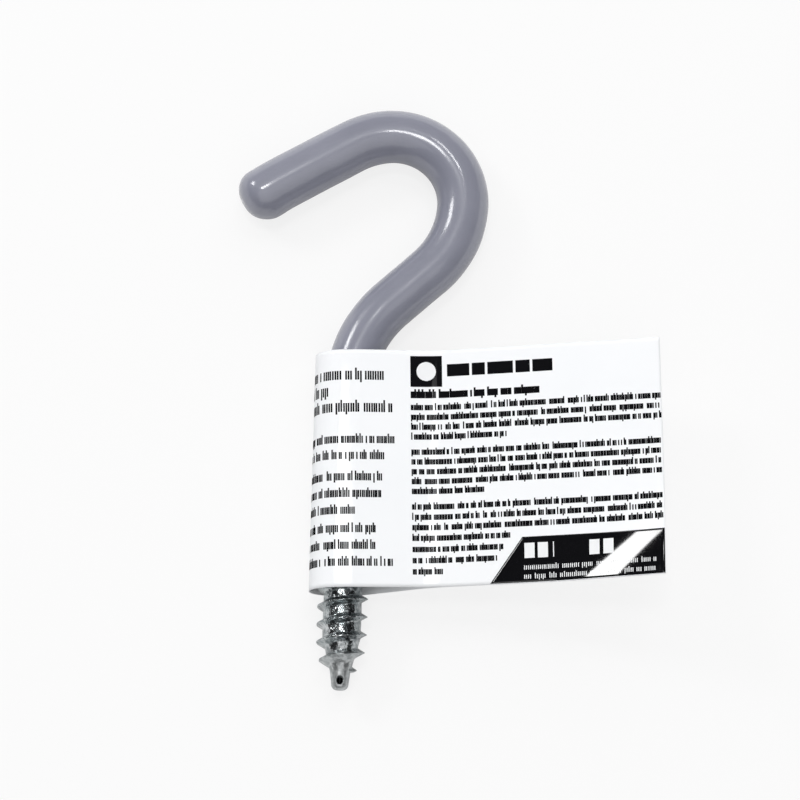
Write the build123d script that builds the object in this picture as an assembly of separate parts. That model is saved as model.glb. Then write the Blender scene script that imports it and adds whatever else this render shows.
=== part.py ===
"""Screw-in storage hook: a bent zinc-plated rod with a lag thread, a dipped vinyl coating and a wrap-round label.

Millimetres. The hook lies on its side with its bend in the XY plane and +Z up.
The origin is on the screw's axis, where the thread ends and the wall's face comes.
+Y runs from the wall along the shank to the bend, and -Y runs into the wall to the screw's point.
"""

from build123d import *

import os
from math import cos, pi, radians, sin, tan

# Rod and its bends, followed from the wall's face to the free end
rod_diameter = 6.35
shank_length = 19.1
lower_bend_radius = 19.2
lower_bend_angle = 47.0
diagonal_length = 8.4
bowl_entry_radius = 16.0
bowl_entry_angle = 44.0
bowl_radius = 11.4
bowl_angle = 100.0
bowl_exit_radius = 14.5
bowl_exit_angle = 23.5
arm_length = 20.2
rod_end_chamfer = 0.6

# Vinyl coating, measured over the rod
coating_thickness = 0.96
coating_start = 1.5
coating_lip_chamfer = 0.6
coating_end_cover = 1.3
coating_nose_radius = 3.6

# Lag thread and point, measured down from the wall's face
screw_length = 29.4
thread_pitch = 25.4 / 9
thread_diameter = 7.94
thread_root_diameter = 6.0
thread_flank_angle = 30.0
thread_crest_width = 0.12
thread_start_angle = 48.0
thread_runout_length = 2.5
ridge_embed = 0.4
ridge_end_gap = 0.2
crest_taper_length = 8.0
crest_fullness = 3.0
root_taper_length = 5.3
nub_length = 2.9
nub_diameter = 3.2
nub_end_diameter = 2.5
nub_rounding = 0.8
dimple_diameter = 1.0
dimple_depth = 1.0
dimple_from_end = 1.45

# Label: one strip of film, folded round the shank and glued back to back as a flag
label_height = 38.1
label_reach = 50.3
label_base = -13.8
label_pivot = 5.0
film_thickness = 0.15
label_clearance = 0.05
loop_slack_left = 1.2
loop_slack_right = 1.3
ply_gap = 0.02
plies_meet = 14.2
flag_lift = 11.8
flag_skew = 2.3
curl_radius = 83.0
curl_length = 23.5
curl_angle = 41.0

# Sizes that follow from the ones above
rod_radius = rod_diameter / 2
coating_radius = rod_radius + coating_thickness
crest_radius = thread_diameter / 2
root_radius = thread_root_diameter / 2
nub_end_radius = nub_end_diameter / 2
nub_top = nub_length - screw_length
taper_top = nub_top + root_taper_length
crest_taper_top = nub_top + crest_taper_length
ridge_bottom = nub_top + ridge_end_gap
thread_rise = crest_radius - root_radius + ridge_embed / 2
loop_inner_radius = coating_radius + label_clearance
loop_outer_radius = loop_inner_radius + film_thickness
beyond_label = 4 * label_reach
steps_per_turn = 16


def hook_path(start, end_cut):
    """Centreline from height start on the screw's axis to end_cut short of the arm's coated end."""
    shank = Line((0, start), (0, shank_length))
    lower_bend = JernArc(shank @ 1, shank % 1, lower_bend_radius, -lower_bend_angle)
    diagonal = Line(lower_bend @ 1, lower_bend @ 1 + (lower_bend % 1) * diagonal_length)
    bowl_entry = JernArc(diagonal @ 1, diagonal % 1, bowl_entry_radius, bowl_entry_angle)
    bowl = JernArc(bowl_entry @ 1, bowl_entry % 1, bowl_radius, bowl_angle)
    bowl_exit = JernArc(bowl @ 1, bowl % 1, bowl_exit_radius, bowl_exit_angle)
    arm = Line(bowl_exit @ 1, bowl_exit @ 1 + (bowl_exit % 1) * (arm_length - end_cut))
    return Wire([shank, lower_bend, diagonal, bowl_entry, bowl, bowl_exit, arm])


def bar_along(path, radius):
    """Round bar of a radius, swept along a path that starts up the screw's axis."""
    section = Plane(origin=path @ 0, z_dir=path % 0) * Circle(radius)
    return sweep(section, path=path)


def end_edge(bar):
    """Circle at the arm's free end, which is the leftmost edge of a bar."""
    return bar.edges().filter_by(GeomType.CIRCLE).sort_by(Axis.X)[0]


def core_radius_at(height):
    """Radius of the thread's root: straight below the wall's face, then a cone that runs into the nub."""
    below_straight = max(taper_top - height, 0)
    return root_radius - below_straight * (root_radius - nub_diameter / 2) / root_taper_length


def crest_radius_at(height):
    """Radius of the ridge's crest: it rises out of the shank, runs straight, and rounds over towards the nub."""
    runout = thread_rise * max(1 + height / thread_runout_length, 0)
    share = min(max((crest_taper_top - height) / crest_taper_length, 0), 1)
    rounded = (1 - share**crest_fullness) ** (1 / crest_fullness)
    return nub_end_radius + (crest_radius - nub_end_radius) * rounded - runout


def helical_edge(heights, radius_at, offset):
    """Right-hand helix through a list of heights, at a radius that changes with height, moved along the axis."""
    points = []
    for height in heights:
        angle = radians(thread_start_angle) + 2 * pi * (height + screw_length) / thread_pitch
        radius = radius_at(height)
        points.append((radius * sin(angle), height + offset(height), radius * cos(angle)))
    return Spline(*points)


def thread_ridge(low, high):
    """V-shaped ridge between two heights, closed from four ruled faces between helices and two end faces."""
    steps = round((high - low) / thread_pitch * steps_per_turn)
    heights = [low + (high - low) * step / steps for step in range(steps + 1)]

    def base_radius_at(height):
        return core_radius_at(height) - ridge_embed

    def half_base(height):
        rise = crest_radius_at(height) - base_radius_at(height)
        return thread_crest_width / 2 + rise * tan(radians(thread_flank_angle))

    edges = [
        helical_edge(heights, crest_radius_at, lambda height: thread_crest_width / 2),
        helical_edge(heights, crest_radius_at, lambda height: -thread_crest_width / 2),
        helical_edge(heights, base_radius_at, lambda height: -half_base(height)),
        helical_edge(heights, base_radius_at, half_base),
    ]
    faces = [Face.make_surface_from_curves(edges[i - 1], edges[i]) for i in range(4)]
    for end in (0, 1):
        corners = [edge @ end for edge in edges]
        faces.append(make_face(Polyline(*corners, close=True)).face())
    return Solid(Shell(faces))


def screw_root():
    """Thread's root, turned about the screw's axis: a cylinder and the cone that ends inside the nub."""
    inside_nub = nub_top - nub_length / 2
    outline = Polyline(
        (0, 0),
        (root_radius, 0),
        (root_radius, taper_top),
        (core_radius_at(inside_nub), inside_nub),
        (0, inside_nub),
        (0, 0),
    )
    return revolve(make_face(outline), Axis.Y)


def screw_nub():
    """Blunt nub at the point, slightly tapered, with a rounded end."""
    outline = Polyline(
        (0, nub_top), (nub_diameter / 2, nub_top), (nub_end_radius, -screw_length), (0, -screw_length), (0, nub_top)
    )
    nub = revolve(make_face(outline), Axis.Y)
    rim = nub.edges().filter_by(GeomType.CIRCLE).sort_by(Axis.Y)[0]
    return fillet(rim, nub_rounding)


def nub_dimple():
    """Small blind pit that the forming of the point leaves on one side of the nub."""
    mouth = Plane(origin=(0, dimple_from_end - screw_length, nub_diameter / 2), z_dir=(0, 0, -1))
    return mouth * extrude(Circle(dimple_diameter / 2), dimple_depth)


def make_steel_hook():
    rod = bar_along(hook_path(0, coating_end_cover), rod_radius)
    rod = chamfer(end_edge(rod), rod_end_chamfer)
    screw = screw_root() + thread_ridge(ridge_bottom, taper_top) + thread_ridge(taper_top, 0)
    return rod + (screw + screw_nub() - nub_dimple())


def make_vinyl_coating():
    skin = bar_along(hook_path(coating_start, 0), coating_radius)
    skin = fillet(end_edge(skin), coating_nose_radius)
    lip = skin.edges().filter_by(GeomType.CIRCLE).sort_by(Axis.Y)[0]
    skin = chamfer(lip, coating_lip_chamfer)
    bore = bar_along(hook_path(0, coating_end_cover), rod_radius)
    return skin - chamfer(end_edge(bore), rod_end_chamfer)


def loop_outline(round_radius, seam_radius):
    """Teardrop across the shank: a slack round about the coating, drawn in to the line where the plies meet."""
    seam = (plies_meet * cos(radians(flag_lift)), plies_meet * sin(radians(flag_lift)))
    rounds = [
        Pos(-loop_slack_left, 0) * Circle(round_radius),
        Pos(loop_slack_right, 0) * Circle(round_radius),
        Pos(*seam) * Circle(seam_radius),
    ]
    return make_hull([edge for one in rounds for edge in one.edges()])


def label_loop():
    """Film round the shank, two plies drawn together."""
    profile = loop_outline(loop_outer_radius, film_thickness) - loop_outline(loop_inner_radius, ply_gap / 2)
    return extrude(Plane.XZ * profile, beyond_label / 2, both=True)


def flag_outline(thickness):
    """Block over the whole label in the flag's own plane: X along the flag, Y up the label."""
    left = -loop_outer_radius - label_height
    corner = Pos(left, label_base - label_pivot, -thickness / 2)
    return corner * Box(label_reach - left, label_height, thickness, align=(Align.MIN, Align.MIN, Align.MIN))


def right_side():
    """Everything on the +X side, as a block far larger than the label."""
    return Box(beyond_label, beyond_label, beyond_label, align=(Align.MIN, Align.CENTER, Align.CENTER))


def curl_frame():
    """Placement on the line where the flag's lower corner starts to curl: X towards the corner, Y along the line."""
    corner = Pos(label_reach, label_base - label_pivot)
    return corner * Rot(Z=curl_angle - 90) * Pos(-curl_length)


def label_flag():
    """Two plies glued together: flat next to the loop, then part of a wide cylinder at the lower corner."""
    flat = flag_outline(2 * film_thickness) - curl_frame() * right_side()
    outside = Cylinder(curl_radius + film_thickness, beyond_label)
    roll = Pos(0, 0, curl_radius) * Rot(X=90) * (outside - Cylinder(curl_radius - film_thickness, beyond_label))
    lower_quarter = Box(beyond_label, beyond_label, beyond_label, align=(Align.MIN, Align.CENTER, Align.MAX))
    curled = curl_frame() * (roll & Pos(0, 0, curl_radius) * lower_quarter) & flag_outline(beyond_label)
    return flat + curled


def make_label():
    """Label in its place: turned up about the shank, its edges skewed, its loop and seam in line with the shank."""
    lift = Pos(0, label_pivot) * Rot(Y=-flag_lift)
    skew = Rot(Z=flag_skew)
    loop = label_loop() & lift * skew * flag_outline(label_reach)
    flag = skew * label_flag() & Pos(plies_meet) * right_side()
    return loop + lift * flag


os.makedirs("parts", exist_ok=True)
export_step(make_steel_hook(), "parts/steel_hook.step")
export_step(make_vinyl_coating(), "parts/vinyl_coating.step")
export_step(make_label(), "parts/label.step")
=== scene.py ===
"""Storage hook: the looks of the dipped coating, the zinc-plated screw rod and the printed film label.

The coating, the rod and the film are meshes that stand for their CAD nodes, and the print lies on the film.
Lengths are millimetres, and MM makes them metres where Blender takes them. X runs across the hook, Y runs
up its shank from the screw to the bend, and Z is up off the floor.
"""

import random
from bisect import bisect_left
from math import acos, atan2, ceil, cos, exp, pi, radians, sin, sqrt, tan

import bmesh
import bpy
from mathutils import Matrix, Vector, noise


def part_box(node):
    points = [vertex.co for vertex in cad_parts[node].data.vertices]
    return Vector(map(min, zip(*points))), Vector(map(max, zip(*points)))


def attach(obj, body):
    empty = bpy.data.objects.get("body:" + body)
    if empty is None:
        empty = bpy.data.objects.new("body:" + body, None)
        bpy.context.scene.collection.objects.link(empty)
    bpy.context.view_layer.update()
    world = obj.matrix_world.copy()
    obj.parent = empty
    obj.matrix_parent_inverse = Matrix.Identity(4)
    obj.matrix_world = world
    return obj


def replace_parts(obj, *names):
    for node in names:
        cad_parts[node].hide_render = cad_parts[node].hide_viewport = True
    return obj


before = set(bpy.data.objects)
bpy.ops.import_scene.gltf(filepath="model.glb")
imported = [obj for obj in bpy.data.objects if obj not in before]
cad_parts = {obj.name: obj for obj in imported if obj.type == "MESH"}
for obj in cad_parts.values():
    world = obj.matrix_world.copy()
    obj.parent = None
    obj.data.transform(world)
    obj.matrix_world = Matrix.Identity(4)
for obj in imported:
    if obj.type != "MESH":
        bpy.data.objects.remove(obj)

MM = 0.001
UP = Vector((0, 0, 1))
weld_distance = 1e-7

# Sizes read from the frame
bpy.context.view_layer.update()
coat_low, coat_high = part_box("vinyl_coating")
screw_low, screw_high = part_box("steel_hook")
floor_level = min(coat_low.z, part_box("label")[0].z) / MM
coat_radius = coat_high.z / MM
coat_start = coat_low.y / MM
thread_crest_radius = screw_high.z / MM
screw_length = -screw_low.y / MM

# Rod and its bends, from the wall's face to the coated end: a radius and the degrees that each turns left
rod_radius = 3.175
shank_length = 19.1
lower_bend = (19.2, -47)
diagonal_length = 8.4
bowl_entry = (16.0, 44)
bowl = (11.4, 100)
bowl_exit = (14.5, 23.5)
arm_length = 20.2
rod_end_cover = 1.3
rod_end_chamfer = 0.6

# Coating: a dipped skin, thicker towards the end it drained from, with a faint drip on the end's lower side
coat_around = 96
coat_step = 0.5
lip_rounding = 0.6
lip_steps = 6
thinner_at_start = 0.2
thicker_at_end = 0.25
ripple_height = 0.05
ripple_length = 5.0
upper_nose_rounding = 3.0
lower_nose_rounding = 3.8
nose_steps = 14
end_rings = (0.75, 0.5, 0.25)
shoulder_fall = 0.7
shoulder_length = 2.7
drip_height = 0.22
drip_from_end = 4.2
drip_length = 1.6
drip_half_angle = 0.8

# Screw: a rolled lag thread that tapers into a blunt nub with a pit, and its plating, which wears off there
screw_around = 96
thread_pitch = 25.4 / 9
root_radius = 3.0
crest_width = 0.12
flank_slope = 1 / tan(radians(30))
thread_start_angle = radians(48)
thread_top = 0.5
near_crest = (0, 0.03, 0.06, 0.11, 0.17, 0.24, 0.31, 0.38, 0.45, 0.52, 0.6, 0.7, 0.82, 0.98, 1.18)
spare_turns = 2
runout_length = 2.5
runout_sink = 1.3
nub_length = 2.9
nub_top_radius = 1.6
nub_end_radius = 1.25
nub_rounding = 0.8
nub_steps = 8
root_taper_length = 5.3
crest_taper_length = 8.0
crest_fullness = 3
thread_fillet = 0.16
shank_blend = 0.7
dent_height = 0.05
dent_length = 0.9
pit_from_end = 1.45
pit_radius = 0.72
pit_depth = 1.0
pit_wall_slope = 3.5
pit_step = 0.06
# Painted shade in the nub's pit: near black out to the first share of the pit's radius, gone by the second
pit_painted_shade_to = 0.6
pit_painted_shade_ends = 0.8
plate_worn_below = -0.6
plate_full_above = 4.5

# Label: a film strip folded round the shank and glued back to back as a flag
label_reach = 50.3
label_base = -13.8
label_height = 38.1
label_pivot = 5.0
flag_lift = radians(11.8)
flag_skew = radians(2.3)
film_thickness = 0.15
film_clearance = 0.05
ply_gap = 0.02
plies_meet = 14.2
seam_rounding = 3.5
slack_right = 1.3
slack_left_low = 1.05
slack_left_high = 1.35
curl_radius = 83.0
curl_length = 23.5
curl_angle = radians(41)
kink_height = 0.7
kink_start = 11.5
kink_length = 8.5
wave_height = 0.1
wave_length = 17.0
film_rows = 60
flag_columns = 80
arc_steps = 40
corner_steps = 8

# Ink: how far it stands out of the film, and how far it reaches into it
ink_height = 0.012
ink_sink = 0.03

# Rows of strokes: groups of stroke pairs, in shares of a pair's width or of the row's height
pairs_in_group = (2, 10)
last_group_pairs = 3
group_gap = 0.7
tall_share = 0.25
tall_reach = 1.35
deep_share = 0.1
deep_reach = 0.3
second_share = 0.85
second_offset = (0.42, 0.56)

# Sizes of print: a row's height, a pair's width and a stroke's weight
body_print = (0.86, 0.44, 0.21)
heading_print = (1.1, 0.58, 0.31)
large_loop_print = (1.45, 0.78, 0.28)
small_loop_print = (1.15, 0.58, 0.235)
panel_print = (0.66, 0.62, 0.14)

# Places of print: across from the shank's axis and up from the pivot, each as low, high, left and right
text_left = 10.55
text_right = 50.1
loop_left = -9.5
square = (13.3, 18.35, text_left, 15.6)
broken_bar = [
    (14.95, 16.95, 16.4, 20.0),
    (14.95, 16.95, 20.4, 22.5),
    (14.95, 16.95, 22.9, 27.0),
    (14.95, 16.95, 27.4, 29.7),
    (14.95, 16.95, 30.1, 33.3),
]
disc_middle = (13.075, 15.825)
disc_radius = 1.55
disc_end_squared = 0.02
panel_blocks = [
    (-14.9, -12.5, 28.2, 29.8),
    (-14.9, -12.5, 30.3, 31.9),
    (-14.9, -12.5, 38.4, 40.0),
    (-14.9, -12.5, 40.6, 42.2),
    (-14.9, -12.5, 32.7, 32.85),
]
panel_rows = (-16.4, -17.85)
panel_rows_left = 28.1
panel_rows_right = 49.0
panel_top = -11.5
panel_left_low = 22.7
panel_left_high = 27.9
panel_margin_low = 0.1
panel_margin_right = 0.05
panel_step = 0.4
panel_grid_rows = 24
disc_grid_rows = 24

# Paragraphs: size, left end, first row's middle, the rows' pitch and each row's right end
paragraphs = [
    (heading_print, text_left, 12.0, 0, (31.3,)),
    (body_print, text_left, 9.93, 1.594, (text_right, text_right, text_right, 26.0)),
    (body_print, text_left, 2.7, 1.58, (text_right, text_right, text_right, text_right, 22.2)),
    (body_print, text_left, -6.1, 1.65, (text_right, text_right, text_right)),
    (body_print, text_left, -11.1, 1.77, (26.0, 25.1, 24.0, 15.3)),
    (large_loop_print, loop_left, 15.07, 2.62, (6.4, -2.3, 7.5)),
    (small_loop_print, loop_left, 4.65, 2.6, (8.1, 6.3)),
    (small_loop_print, loop_left, -1.36, 2.68, (6.0, 5.8, 1.5)),
    (small_loop_print, loop_left, -9.63, 2.65, (4.8, 5.0, 7.7)),
]

# Camera: what it looks at and how it is turned, for the photograph's 800 pixel square
aim_point = Vector((8.047, 17.355, 0)) * MM
camera_distance = 0.4
camera_tilt = radians(13.5)
camera_roll = radians(1.72)
camera_lens = 112.5
camera_sensor = 36
camera_clip = 0.01

# Light: the world's fill, the camera's share of plain white in the floor, and the top of the bend
fill_level = 0.30
floor_glow = 0.8
crown = Vector((8, 60, 4)) * MM

# Stage, in metres: the sides of its squares, and where the dim ones stand
ground_size = 6.0
ceiling_size = 40.0
ceiling_height = 2.7
wall_size = 1.8
wall_distance = 1.2

# Sizes that follow from the ones above
nub_top = nub_length - screw_length
root_taper_top = nub_top + root_taper_length
crest_taper_top = nub_top + crest_taper_length
half_pair = (film_thickness + ply_gap) / 2
label_low = label_base - label_pivot
label_high = label_low + label_height


def straight(length):
    """A straight run of the rod's centreline: its length and its curvature."""
    return length, 0.0


def bend(radius, degrees):
    """A bent run: its length and its curvature, which is negative to the right."""
    length = radius * abs(radians(degrees))
    return length, radians(degrees) / length


runs = [
    straight(shank_length),
    bend(*lower_bend),
    straight(diagonal_length),
    bend(*bowl_entry),
    bend(*bowl),
    bend(*bowl_exit),
    straight(arm_length),
]
hook_length = sum(length for length, curvature in runs)
rod_length = hook_length - rod_end_cover


def centreline(distance):
    """Point and heading at a distance along the rod from the wall's face, below which it is straight."""
    point = Vector((0, min(distance, 0), 0))
    heading = pi / 2
    left = max(distance, 0)
    for length, curvature in runs:
        step = min(left, length)
        turn = curvature * step
        chord = 2 * sin(turn / 2) / curvature if turn else step
        point += chord * Vector((cos(heading + turn / 2), sin(heading + turn / 2), 0))
        heading += turn
        left -= step
    return point, heading


def rod_point(distance, angle, radius):
    """Point off the centreline; the angle runs from the top towards the right of the way along the rod."""
    point, heading = centreline(distance)
    right = Vector((sin(heading), -cos(heading), 0))
    return point + radius * (cos(angle) * UP + sin(angle) * right)


def angles(around):
    """A full turn in that many steps, without its end."""
    return [2 * pi * step / around for step in range(around)]


def spaced(start, end, step):
    """Values from start to end, both included, no further apart than step."""
    count = max(ceil(abs(end - start) / step), 1)
    return [start + (end - start) * i / count for i in range(count + 1)]


def quarter_turn(steps):
    """Angles from 0 to 90 degrees in that many steps."""
    return [pi / 2 * step / steps for step in range(steps + 1)]


def smooth(share):
    """Soft step from 0 to 1."""
    share = min(max(share, 0), 1)
    return share * share * (3 - 2 * share)


def smooth_max(a, b, width):
    """Larger of two heights, with a fillet of that width where they cross."""
    near = max(width - abs(a - b), 0) / width
    return max(a, b) + near * near * width / 4


def add_skin(mesh, rings, wrap=0):
    """Faces over rings. A ring of one point closes an end, and wrap joins a helix to its next turn."""
    grid = [[mesh.verts.new(point * MM) for point in ring] for ring in rings]
    around = max(len(ring) for ring in rings)
    for low in range(len(grid) - 1 - wrap):
        for step in range(around):
            beside = low + wrap if step + 1 == around else low
            corners = (
                grid[low][step % len(grid[low])],
                grid[beside][(step + 1) % len(grid[beside])],
                grid[beside + 1][(step + 1) % len(grid[beside + 1])],
                grid[low + 1][step % len(grid[low + 1])],
            )
            mesh.faces.new(tuple(dict.fromkeys(corners)))


def finish_piece(name, mesh, finish, smooth_shade=True):
    """Object made from a bmesh, with its finish, riding on the hook."""
    bmesh.ops.remove_doubles(mesh, verts=mesh.verts, dist=weld_distance)
    data = bpy.data.meshes.new(name)
    mesh.to_mesh(data)
    mesh.free()
    for polygon in data.polygons:
        polygon.use_smooth = smooth_shade
    data.materials.append(finish)
    piece = bpy.data.objects.new(name, data)
    bpy.context.scene.collection.objects.link(piece)
    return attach(piece, "root")


def upper_share(angle):
    """Share of the way round to the side of the arm that is away from the bowl."""
    return (1 + sin(angle)) / 2


def coat_surface(distance, angle):
    """Coating's radius: it grows along the hook, with faint ripples, a drip and a fallen shoulder."""
    swell = (thinner_at_start + thicker_at_end) * distance / hook_length - thinner_at_start
    nominal = rod_point(distance, angle, coat_radius)
    ripple = ripple_height * noise.noise(nominal / ripple_length)
    along = (distance - (hook_length - drip_from_end)) / drip_length
    off_lower_side = ((angle - 3 * pi / 2) + pi) % (2 * pi) - pi
    drip = drip_height * exp(-along * along) * exp(-((off_lower_side / drip_half_angle) ** 2))
    shoulder = shoulder_fall * upper_share(angle) * exp((distance - hook_length) / shoulder_length)
    return coat_radius + swell + ripple + drip - shoulder


def nose_rounding(angle):
    """Rounding of the coated end: larger on the side towards the bowl."""
    return lower_nose_rounding + (upper_nose_rounding - lower_nose_rounding) * upper_share(angle)


def make_coating():
    """Hollow skin: from the bore's closed end to its mouth, over the lip, and out to the rounded end."""
    mesh = bmesh.new()
    turns = angles(coat_around)
    rings = [[rod_point(rod_length, 0, 0)]]
    rings.append([rod_point(rod_length, turn, rod_radius - rod_end_chamfer) for turn in turns])
    for distance in spaced(rod_length - rod_end_chamfer, coat_start, 2 * coat_step):
        rings.append([rod_point(distance, turn, rod_radius) for turn in turns])
    for step in quarter_turn(lip_steps):
        inset = lip_rounding * (1 - sin(step))
        distance = coat_start + lip_rounding * (1 - cos(step))
        rings.append([rod_point(distance, turn, coat_surface(distance, turn) - inset) for turn in turns])
    nose_start = hook_length - lower_nose_rounding
    for distance in spaced(coat_start + lip_rounding, nose_start, coat_step)[1:]:
        rings.append([rod_point(distance, turn, coat_surface(distance, turn)) for turn in turns])
    for step in quarter_turn(nose_steps):
        ring = []
        for turn in turns:
            rounding = nose_rounding(turn)
            distance = hook_length - rounding * (1 - sin(step))
            radius = coat_surface(distance, turn) - rounding * (1 - cos(step))
            ring.append(rod_point(distance, turn, radius))
        rings.append(ring)
    rim = rings[-1]
    middle = rod_point(hook_length, 0, 0)
    for share in end_rings:
        rings.append([middle + share * (point - middle) for point in rim])
    rings.append([middle])
    add_skin(mesh, rings)
    coating = finish_piece("dipped_coating", mesh, grey_vinyl())
    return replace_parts(coating, "vinyl_coating")


def core_radius(height):
    """Screw's radius between the ridges, from the rod down the straight root and the cone to the nub."""
    if height > nub_top:
        tapered = max(root_taper_top - height, 0) / root_taper_length
        below_rod = smooth(height / shank_blend + 1)
        root = root_radius - (root_radius - nub_top_radius) * tapered
        return root + (rod_radius - root_radius) * below_rod
    return nub_top_radius - (nub_top_radius - nub_end_radius) * (nub_top - height) / nub_length


def crest_radius(height):
    """Radius of the ridge's crest: it runs out into the shank, and rounds over towards the nub."""
    share = min(max((crest_taper_top - height) / crest_taper_length, 0), 1)
    rise = thread_crest_radius - root_radius
    runout = rise * runout_sink * max(1 + height / runout_length, 0)
    rounded = (1 - share**crest_fullness) ** (1 / crest_fullness)
    return nub_end_radius + (thread_crest_radius - nub_end_radius) * rounded - runout


def screw_surface(height, angle, off_crest):
    """Screw's radius at a height, given how far the nearest crest is, with small dents."""
    ridge = crest_radius(height - off_crest) - flank_slope * max(abs(off_crest) - crest_width / 2, 0)
    radius = smooth_max(core_radius(height), ridge, thread_fillet)
    nominal = rod_point(height, angle, radius)
    dents = dent_height * noise.noise(nominal / dent_length)
    fade = smooth(-height / runout_length) * smooth((height + screw_length) / nub_length)
    return radius + dents * fade


def pit(height, angle):
    """Depth of the small pit that forming the point leaves in the nub."""
    across = nub_top_radius * ((angle + pi) % (2 * pi) - pi)
    along = height + screw_length - pit_from_end
    off_centre = sqrt(across * across + along * along) / pit_radius
    return pit_depth * smooth(pit_wall_slope * (1 - off_centre))


def thread_rings():
    """Rings that climb with the thread, held between its two ends, and how many of them make a turn."""
    offsets = [-offset for offset in reversed(near_crest[1:])] + list(near_crest)
    turns = angles(screw_around)
    first_turn = int((nub_top + screw_length) / thread_pitch) - spare_turns
    last_turn = int((thread_top + screw_length) / thread_pitch) + spare_turns
    rings = []
    for turn_number in range(first_turn, last_turn + 1):
        for offset in offsets:
            ring = []
            for turn in turns:
                climbed = turn_number + (turn - thread_start_angle) / (2 * pi)
                crest_height = climbed * thread_pitch - screw_length
                height = min(max(crest_height + offset, nub_top), thread_top)
                ring.append(rod_point(height, turn, screw_surface(height, turn, height - crest_height)))
            rings.append(ring)
    return rings, len(offsets)


def make_screw_rod():
    """Steel rod: nub, lag thread, and the round bar that runs on in the coating to its chamfered end."""
    mesh = bmesh.new()
    turns = angles(screw_around)
    climbing, per_turn = thread_rings()
    add_skin(mesh, climbing, wrap=per_turn)
    nub = [[rod_point(-screw_length, 0, 0)]]
    for step in quarter_turn(nub_steps):
        height = nub_rounding * (1 - cos(step)) - screw_length
        inset = nub_rounding * (1 - sin(step))
        nub.append([rod_point(height, turn, core_radius(height) - inset) for turn in turns])
    for height in spaced(nub_rounding - screw_length, nub_top, pit_step)[1:-1]:
        nub.append([rod_point(height, turn, core_radius(height) - pit(height, turn)) for turn in turns])
    nub.append([rod_point(nub_top, turn, screw_surface(nub_top, turn, thread_pitch)) for turn in turns])
    add_skin(mesh, nub)
    bar = [[rod_point(thread_top, turn, screw_surface(thread_top, turn, thread_pitch)) for turn in turns]]
    for distance in spaced(thread_top, rod_length - rod_end_chamfer, 1)[1:]:
        bar.append([rod_point(distance, turn, rod_radius) for turn in turns])
    bar.append([rod_point(rod_length, turn, rod_radius - rod_end_chamfer) for turn in turns])
    bar.append([rod_point(rod_length, 0, 0)])
    add_skin(mesh, bar)
    screw = finish_piece("zinc_screw_rod", mesh, bright_zinc())
    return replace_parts(screw, "steel_hook")


def arc(centre_x, radius, start, end):
    """Points of an arc in the XZ plane about a centre on the X axis."""
    turns = spaced(start, end, pi / arc_steps)
    return [(centre_x + radius * cos(turn), radius * sin(turn)) for turn in turns]


def lifted(along, off):
    """Point of the XZ plane from distances along the flag and off its middle plane."""
    return (
        along * cos(flag_lift) - off * sin(flag_lift),
        along * sin(flag_lift) + off * cos(flag_lift),
    )


def rounded_corner(start, corner, end):
    """Curve from start to end that a corner pulls towards it."""
    points = []
    for step in range(corner_steps + 1):
        t = step / corner_steps
        weights = ((1 - t) ** 2, 2 * t * (1 - t), t**2)
        pulls = list(zip(weights, (start, corner, end)))
        points.append(tuple(sum(weight * pull[axis] for weight, pull in pulls) for axis in (0, 1)))
    return points


def towards(start, end, distance):
    """Point at a distance from start on the way to end."""
    reach = sqrt((end[0] - start[0]) ** 2 + (end[1] - start[1]) ** 2)
    return tuple(a + (b - a) * distance / reach for a, b in zip(start, end))


def loop_section(slack_left):
    """Film's middle line across the shank, from the front ply at the seam round to the rear ply."""
    radius = coat_radius + film_clearance + film_thickness / 2
    seam_start = plies_meet + seam_rounding
    section = []
    for side in (1, -1):
        corner = lifted(plies_meet, side * half_pair)
        across = sqrt((corner[0] - slack_right) ** 2 + corner[1] ** 2)
        bearing = atan2(corner[1], corner[0] - slack_right)
        touch = bearing + side * acos(radius / across)
        onto = (slack_right + radius * cos(touch), radius * sin(touch))
        start = lifted(seam_start, side * half_pair)
        half = rounded_corner(start, corner, towards(corner, onto, seam_rounding))
        half += arc(slack_right, radius, touch, side * pi / 2)
        section.append(half)
    round_left = arc(-slack_left, radius, pi / 2, 3 * pi / 2)
    return section[0] + round_left + section[1][::-1]


low_section = loop_section(slack_left_low)
high_section = loop_section(slack_left_high)


def from_base(rise):
    """Distance up from the label's lower edge."""
    return rise + label_pivot - label_base


def section_at(rise):
    """Loop's section at a height on the label, and the length of film from its start to each point."""
    share = from_base(rise) / label_height
    points = []
    for low, high in zip(low_section, high_section):
        points.append(Vector(low).lerp(Vector(high), share))
    lengths = [0.0]
    for before, after in zip(points, points[1:]):
        lengths.append(lengths[-1] + (after - before).length)
    return points, lengths


def seam_across(rise):
    """Where the flat flag ends and the loop's section starts, on the label's own scale."""
    return (plies_meet + seam_rounding) / cos(flag_skew) + rise * tan(flag_skew)


def curl_rise(across, rise):
    """How far the flag's lower corner stands up: part of a wide cylinder, with a slight kink in it."""
    into_curl = (across - label_reach) * sin(curl_angle) - from_base(rise) * cos(curl_angle) + curl_length
    curl = curl_radius - sqrt(curl_radius**2 - max(into_curl, 0) ** 2)
    kink = smooth((into_curl - kink_start) / kink_length) - smooth(into_curl / curl_length)
    return curl + kink_height * kink


def flag_point(across, rise, off):
    """Point of the flag at a distance off its middle plane, with the curled corner and faint waves."""
    along = across * cos(flag_skew) - rise * sin(flag_skew)
    height = label_pivot + across * sin(flag_skew) + rise * cos(flag_skew)
    free = smooth((across - seam_across(rise)) / (label_reach - plies_meet))
    wave = wave_height * free * noise.noise(Vector((across, rise, 0)) / wave_length)
    x, z = lifted(along, off + curl_rise(across, rise) + wave)
    return Vector((x, height, z))


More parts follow.
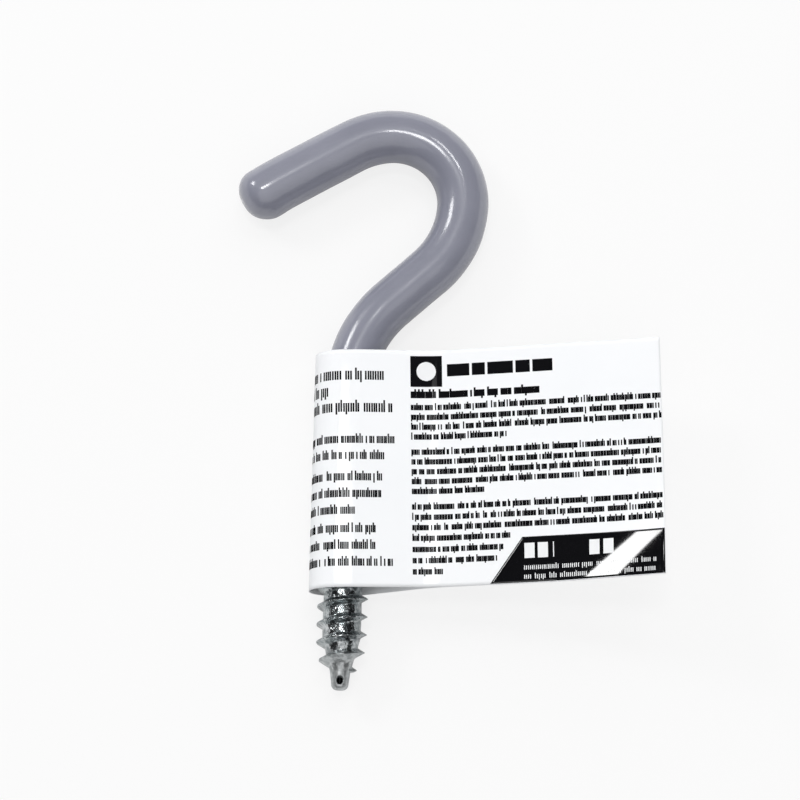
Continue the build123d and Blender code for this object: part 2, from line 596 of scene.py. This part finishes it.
def front_point(across, rise):
    """Point of the front ply's middle surface, across the flag and on round the loop to the left."""
    seam = seam_across(rise)
    if across >= seam:
        return flag_point(across, rise, half_pair)
    points, lengths = section_at(rise)
    wanted = seam - across
    last = min(bisect_left(lengths, wanted), len(lengths) - 1)
    share = (wanted - lengths[last - 1]) / (lengths[last] - lengths[last - 1])
    return loop_point(points[last - 1].lerp(points[last], share), rise)


def loop_point(section_point, rise):
    """Point of the loop: a section point, at the height where the skewed label's line of that rise runs."""
    x, z = section_point
    along = x * cos(flag_lift) + z * sin(flag_lift)
    height = label_pivot + (rise + along * sin(flag_skew)) / cos(flag_skew)
    return Vector((x, height, z))


def make_label():
    """Film strip: front ply, loop and rear ply as one surface, thickened by a Solidify modifier.

    The rear ply ends where the row with the fewest columns does.
    """
    mesh = bmesh.new()
    rows = []
    for rise in spaced(label_low, label_high, label_height / film_rows):
        flag = spaced(label_reach, seam_across(rise), (label_reach - plies_meet) / flag_columns)
        points, lengths = section_at(rise)
        row = [flag_point(across, rise, half_pair) for across in flag[:-1]]
        row += [loop_point(point, rise) for point in points]
        row += [flag_point(across, rise, -half_pair) for across in flag[-2::-1]]
        rows.append(row)
    columns = min(len(row) for row in rows)
    grid = [[mesh.verts.new(point * MM) for point in row[:columns]] for row in rows]
    for low, high in zip(grid, grid[1:]):
        for i in range(columns - 1):
            mesh.faces.new((low[i + 1], low[i], high[i], high[i + 1]))
    label = finish_piece("film_label", mesh, label_film())
    solidify = label.modifiers.new("film thickness", "SOLIDIFY")
    solidify.thickness = film_thickness * MM
    solidify.offset = 0
    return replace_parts(label, "label")


def outward(across, rise):
    """Direction off the label's printed face."""
    nearby = 0.05
    sideways = front_point(across + nearby, rise) - front_point(across - nearby, rise)
    upwards = front_point(across, rise + nearby) - front_point(across, rise - nearby)
    return sideways.cross(upwards).normalized()


def add_slab(mesh, low, high, left, right, level=1, step=1.0, rows=1):
    """Closed slab of ink on the film's front, between two heights and the lines left(rise), right(rise)."""
    grid = []
    bottom = film_thickness / 2 - ink_sink
    top = film_thickness / 2 + ink_height * level
    columns = max(ceil((right((low + high) / 2) - left((low + high) / 2)) / step), 1)
    for row in range(rows + 1):
        rise = low + (high - low) * row / rows
        line = []
        for column in range(columns + 1):
            across = left(rise) + (right(rise) - left(rise)) * column / columns
            place = front_point(across, rise)
            normal = outward(across, rise)
            line.append([mesh.verts.new((place + normal * height) * MM) for height in (bottom, top)])
        grid.append(line)
    for lower, upper in zip(grid, grid[1:]):
        for column in range(columns):
            corners = (lower[column], lower[column + 1], upper[column + 1], upper[column])
            mesh.faces.new([corner[1] for corner in corners])
            mesh.faces.new([corner[0] for corner in reversed(corners)])
    left_edge = [line[0] for line in grid]
    right_edge = [line[-1] for line in grid]
    for edge in (grid[0], grid[-1][::-1], left_edge[::-1], right_edge):
        for here, after in zip(edge, edge[1:]):
            mesh.faces.new((here[0], after[0], after[1], here[1]))


def add_bar(mesh, low, high, left, right, level=1):
    """Plain upright rectangle of ink."""
    add_slab(mesh, low, high, lambda rise: left, lambda rise: right, level)


def add_row(mesh, dice, size, middle, left, right, level=1):
    """A row of plain upright strokes in groups, from left to right, about a middle height."""
    height, pair, weight = size
    low = middle - height / 2
    across = left
    while across < right - pair:
        pairs = dice.randint(*pairs_in_group)
        if across + pairs * pair > right - last_group_pairs * pair:
            pairs = max(round((right - across) / pair), 1)
        for number in range(pairs):
            stroke = across + number * pair
            if stroke + weight > right:
                break
            tall = dice.random() < tall_share
            deep = not tall and dice.random() < deep_share
            top = low + height * (tall_reach if tall else 1)
            base = low - height * (deep_reach if deep else 0)
            add_bar(mesh, base, top, stroke, stroke + weight, level)
            if dice.random() < second_share:
                second = stroke + pair * dice.uniform(*second_offset)
                add_bar(mesh, low, low + height, second, second + weight, level)
        across += (pairs + group_gap) * pair


def make_black_print():
    """Black ink: a square, a broken bar and rows of plain strokes."""
    mesh = bmesh.new()
    dice = random.Random(7)
    for bar in [square, *broken_bar]:
        add_bar(mesh, *bar)
    for size, left, first, pitch, ends in paragraphs:
        for number, end in enumerate(ends):
            add_row(mesh, dice, size, first - number * pitch, left, end)
    return finish_piece("black_print", mesh, black_ink(), smooth_shade=False)


def make_black_panel():
    """Solid black panel at the lower corner, with a slanted left edge."""
    mesh = bmesh.new()
    base = label_low + panel_margin_low

    def slanted_edge(rise):
        share = (rise - base) / (panel_top - base)
        return panel_left_low + (panel_left_high - panel_left_low) * share

    def right_edge(rise):
        return label_reach - panel_margin_right

    add_slab(mesh, base, panel_top, slanted_edge, right_edge, step=panel_step, rows=panel_grid_rows)
    return finish_piece("black_panel", mesh, glossy_black_ink())


def make_white_print():
    """White ink over the black: a disc in the square, and blocks, a line and strokes in the panel."""
    mesh = bmesh.new()
    dice = random.Random(11)
    middle, height = disc_middle

    def half_width(rise):
        return sqrt(max(disc_radius**2 - (rise - height) ** 2, disc_end_squared))

    def left_edge(rise):
        return middle - half_width(rise)

    def right_edge(rise):
        return middle + half_width(rise)

    low = height - disc_radius
    high = height + disc_radius
    add_slab(mesh, low, high, left_edge, right_edge, level=2, rows=disc_grid_rows)
    for block in panel_blocks:
        add_bar(mesh, *block, level=2)
    for row_middle in panel_rows:
        add_row(mesh, dice, panel_print, row_middle, panel_rows_left, panel_rows_right, level=2)
    return finish_piece("white_print", mesh, white_ink(), smooth_shade=False)


class Value:
    """A node's number, colour or vector. Arithmetic on a number adds Math nodes."""

    def __init__(self, finish, socket):
        self.finish = finish
        self.socket = socket

    def maths(self, operation, *terms):
        return self.finish.node("ShaderNodeMath", {"operation": operation}, dict(enumerate(terms)))

    def __add__(self, other):
        return self.maths("ADD", self, other)

    def __sub__(self, other):
        return self.maths("SUBTRACT", self, other)

    def __rsub__(self, other):
        return self.maths("SUBTRACT", other, self)

    def __mul__(self, other):
        return self.maths("MULTIPLY", self, other)

    __radd__ = __add__
    __rmul__ = __mul__

    def root(self):
        return self.maths("SQRT", self)

    def larger(self, other):
        return self.maths("MAXIMUM", self, other)


class Finish:
    """A material, or the world, while its nodes are made."""

    def __init__(self, owner):
        owner.use_nodes = True
        self.owner = owner
        self.tree = owner.node_tree
        self.tree.nodes.clear()

    def node(self, kind, settings=None, sockets=None, output=0):
        """New node: its settings are made first, then its sockets are set or linked. Gives one output."""
        made = self.tree.nodes.new(kind)
        for key, value in (settings or {}).items():
            setattr(made, key, value)
        for key, value in (sockets or {}).items():
            if isinstance(value, Value):
                self.tree.links.new(value.socket, made.inputs[key])
            else:
                made.inputs[key].default_value = value
        return Value(self, made.outputs[output]) if made.outputs else None

    def place(self):
        """Coordinates in metres that stay with the piece."""
        return self.node("ShaderNodeTexCoord", output="Object")

    def axes(self):
        """The same coordinates, one by one."""
        sockets = {"Vector": self.place()}
        return [self.node("ShaderNodeSeparateXYZ", None, sockets, axis) for axis in "XYZ"]

    def noise(self, size, detail=2, roughness=0.5, distortion=0):
        """Noise from 0 to 1 whose blobs are about size metres across."""
        sockets = {
            "Vector": self.place(),
            "Scale": 1 / size,
            "Detail": detail,
            "Roughness": roughness,
            "Distortion": distortion,
        }
        return self.node("ShaderNodeTexNoise", None, sockets, "Fac")

    def between(self, value, low, high):
        """Value stretched so that low is 0 and high is 1, and held there."""
        return self.node("ShaderNodeMapRange", {"clamp": True}, {0: value, 1: low, 2: high, 3: 0.0, 4: 1.0})

    def blend(self, factor, first, second):
        """Colour that goes from first to second with the factor."""
        sockets = {"Factor": factor, 6: colour(first), 7: colour(second)}
        return self.node("ShaderNodeMix", {"data_type": "RGBA"}, sockets, 2)

    def bump(self, height, distance):
        """Normal from a height between 0 and 1 that stands for a distance in metres."""
        return self.node("ShaderNodeBump", None, {"Height": height, "Distance": distance, "Strength": 1.0})

    def surface(self, sockets):
        """The finished material, from the sockets of its shader."""
        shader = self.node("ShaderNodeBsdfPrincipled", None, sockets)
        self.node("ShaderNodeOutputMaterial", None, {"Surface": shader})
        return self.owner


def colour(value):
    """A written colour as the four numbers that a socket takes; a linked one as it is."""
    return value if isinstance(value, Value) else (*value, 1)


def new_finish(name):
    """Empty material, ready for its nodes."""
    return Finish(bpy.data.materials.new(name))


def grey_vinyl():
    """Dipped plastic: an even blue-grey, glossy, with a slight orange peel that breaks up highlights."""
    finish = new_finish("grey vinyl")
    cloud = finish.between(finish.noise(9 * MM, detail=3), 0.3, 0.7)
    grain = finish.noise(0.35 * MM, detail=2)
    base = finish.blend(cloud * 0.7 + grain * 0.3, (0.216, 0.222, 0.276), (0.258, 0.264, 0.322))
    peel = finish.noise(1.6 * MM, detail=2) * 0.7 + finish.noise(0.5 * MM, detail=1) * 0.3
    roughness = cloud * 0.06 + 0.34
    return finish.surface(
        {
            "Base Color": base,
            "Roughness": roughness,
            "Normal": finish.bump(peel, 0.03 * MM),
            "IOR": 1.5,
            "Coat Weight": 1.0,
            "Coat Roughness": 0.13,
        }
    )


def bright_zinc():
    """Zinc plate over a rolled thread: mottled, slightly green-blue and lumpy, worn pale on the nub.

    The nub's pit is painted near black on the rod's upper side: painted shade.
    """
    finish = new_finish("bright zinc plate")
    mottle = finish.between(finish.noise(0.9 * MM, detail=4, roughness=0.6, distortion=0.6), 0.38, 0.62)
    stain = finish.between(finish.noise(2.6 * MM, detail=2), 0.35, 0.65)
    plate = finish.blend(mottle, (0.20, 0.22, 0.23), (0.66, 0.68, 0.69))
    base = finish.blend(stain * 0.5, plate, (0.33, 0.38, 0.385))
    lumps = finish.noise(0.9 * MM, detail=2) * 0.88 + finish.noise(0.32 * MM, detail=1) * 0.12
    across, along, up = finish.axes()
    plated = finish.between(along, (nub_top + plate_worn_below) * MM, (nub_top + plate_full_above) * MM)
    base = finish.blend(plated * 0.5 + 0.5, (0.74, 0.75, 0.75), base)
    from_pit = along - (pit_from_end - screw_length) * MM
    off_pit = (across * across + from_pit * from_pit).root()
    # Painted shade in the nub's pit: the base colour goes near black there, on the upper side only
    painted_shade_radius = pit_painted_shade_to * pit_radius * MM
    outside_painted_shade = finish.between(off_pit, painted_shade_radius, pit_painted_shade_ends * pit_radius * MM)
    lower_half = finish.between(up, 0.3 * MM, 0.1 * MM)
    base = finish.blend(outside_painted_shade.larger(lower_half), (0.012, 0.013, 0.014), base)
    return finish.surface(
        {
            "Base Color": base,
            "Metallic": 1.0,
            "Roughness": mottle * -0.1 + 0.56 - plated * 0.3,
            "Normal": finish.bump(lumps, 0.2 * MM),
        }
    )


def film_surface(name, base_low, base_high, gloss, unevenness=0.02):
    """Printed film in one ink: base colour, faint mottling, gloss and the film's slight unevenness."""
    finish = new_finish(name)
    cloud = finish.noise(12 * MM, detail=2)
    uneven = finish.noise(5 * MM, detail=3) * 0.75 + finish.noise(0.9 * MM, detail=2) * 0.25
    return finish.surface(
        {
            "Base Color": finish.blend(cloud, base_low, base_high),
            "Roughness": 0.5,
            "Specular IOR Level": 0.0,
            "Normal": finish.bump(uneven, unevenness * MM),
            "Coat Weight": gloss,
            "Coat Roughness": 0.05,
            "Coat IOR": 1.8,
        }
    )


def label_film():
    return film_surface("label film", (0.87, 0.885, 0.905), (0.905, 0.915, 0.93), gloss=0.12)


def black_ink():
    return film_surface("black ink", (0.004, 0.004, 0.005), (0.008, 0.008, 0.009), gloss=0.03)


def glossy_black_ink():
    low = (0.003, 0.003, 0.004)
    high = (0.006, 0.006, 0.007)
    return film_surface("glossy black ink", low, high, gloss=1.0, unevenness=0.045)


def white_ink():
    return film_surface("white ink", (0.82, 0.83, 0.84), (0.87, 0.88, 0.89), gloss=0.25)


def pale_floor():
    """White ground: lit like paper, and lifted for the camera so that it is as pale as the backdrop."""
    finish = new_finish("pale ground")
    ray = finish.node("ShaderNodeLightPath", output="Is Camera Ray")
    paper = finish.node("ShaderNodeBsdfDiffuse", None, {"Color": (0.78, 0.78, 0.78, 1)})
    glow = finish.node("ShaderNodeEmission", None, {"Color": (1, 1, 1, 1), "Strength": 1.0})
    mixed = finish.node("ShaderNodeMixShader", None, {0: ray * floor_glow, 1: paper, 2: glow})
    finish.node("ShaderNodeOutputMaterial", None, {"Surface": mixed})
    return finish.owner


def make_plane(name, size, place, finish):
    """Flat square of the stage, which isn't part of the hook."""
    mesh = bmesh.new()
    bmesh.ops.create_grid(mesh, x_segments=1, y_segments=1, size=size / 2)
    data = bpy.data.meshes.new(name)
    mesh.to_mesh(data)
    mesh.free()
    data.materials.append(finish)
    plane = bpy.data.objects.new(name, data)
    plane.location = place
    bpy.context.scene.collection.objects.link(plane)
    return plane


def dim_room():
    """Dim ceiling and wall that only gloss reflects, so that it shows depth between the lamps."""
    finish = new_finish("dim ceiling")
    shader = finish.node("ShaderNodeBsdfDiffuse", None, {"Color": (0.04, 0.04, 0.044, 1)})
    finish.node("ShaderNodeOutputMaterial", None, {"Surface": shader})
    ceiling = make_plane("dim_ceiling", ceiling_size, (0, 0, ceiling_height), finish.owner)
    wall = make_plane("dim_wall", wall_size, (0, -wall_distance, wall_size / 2), finish.owner)
    wall.rotation_euler.x = pi / 2
    for sheet in (ceiling, wall):
        sheet.visible_camera = False
        sheet.visible_diffuse = False
        sheet.visible_shadow = False
        sheet.visible_transmission = False


def make_world():
    """White where the camera, gloss or glass sees it, and a softer grey as fill light."""
    world = bpy.data.worlds.new("studio")
    bpy.context.scene.world = world
    finish = Finish(world)
    camera, glossy, transmission = [
        finish.node("ShaderNodeLightPath", output=name)
        for name in ("Is Camera Ray", "Is Glossy Ray", "Is Transmission Ray")
    ]
    seen = camera.larger(glossy.larger(transmission))
    strength = seen * (1 - fill_level) + fill_level
    background = finish.node("ShaderNodeBackground", None, {"Color": (1, 1, 1, 1), "Strength": strength})
    finish.node("ShaderNodeOutputWorld", None, {"Surface": background})


def add_lamp(name, direction, distance, size, level, target=aim_point):
    """Flat lamp aimed at a target. Its level is how bright it alone makes a white sheet that faces it."""
    lamp = bpy.data.lights.new(name, "AREA")
    lamp.shape = "RECTANGLE"
    lamp.size, lamp.size_y = size
    lamp.energy = level * pi * pi * distance**2
    away = Vector(direction).normalized()
    holder = bpy.data.objects.new(name, lamp)
    holder.location = target + away * distance
    holder.rotation_euler = away.to_track_quat("Z", "Y").to_euler()
    holder.visible_camera = False
    bpy.context.scene.collection.objects.link(holder)
    return holder


def light_set():
    """Three small lamps that gloss mirrors, and two broad ones, beyond the bend and before the screw."""
    add_lamp("key", (-0.075, 0.12, 0.99), 2.5, (0.42, 0.42), level=0.18, target=crown)
    add_lamp("right", (0.14, 0.40, 0.905), 0.8, (0.09, 0.07), level=0.06, target=crown)
    add_lamp("left", (-0.66, 0.465, 0.59), 0.8, (0.20, 0.18), level=0.24)
    soft = add_lamp("soft", (0.05, 0.8, 0.6), 0.8, (1.2, 0.9), level=0.58)
    soft.visible_glossy = False
    add_lamp("near", (0.1, -0.5, 0.86), 0.8, (0.9, 0.8), level=0.31)
    make_world()
    dim_room()
    make_plane("ground", ground_size, (0, 0, floor_level * MM), pale_floor())


def set_camera():
    """Camera above the hook, tilted towards the screw and rolled as the photograph is."""
    camera = bpy.data.cameras.new("camera")
    camera.lens = camera_lens
    camera.sensor_width = camera_sensor
    camera.clip_start = camera_clip
    holder = bpy.data.objects.new("camera", camera)
    turn = Matrix.Rotation(camera_tilt, 4, "X") @ Matrix.Rotation(camera_roll, 4, "Z")
    back = turn.to_3x3() @ UP
    holder.matrix_world = Matrix.Translation(aim_point + back * camera_distance) @ turn
    bpy.context.scene.collection.objects.link(holder)
    bpy.context.scene.camera = holder


make_coating()
make_screw_rod()
make_label()
make_black_print()
make_black_panel()
make_white_print()
light_set()
set_camera()
bpy.context.scene.view_settings.view_transform = "Standard"

bpy.context.view_layer.update()
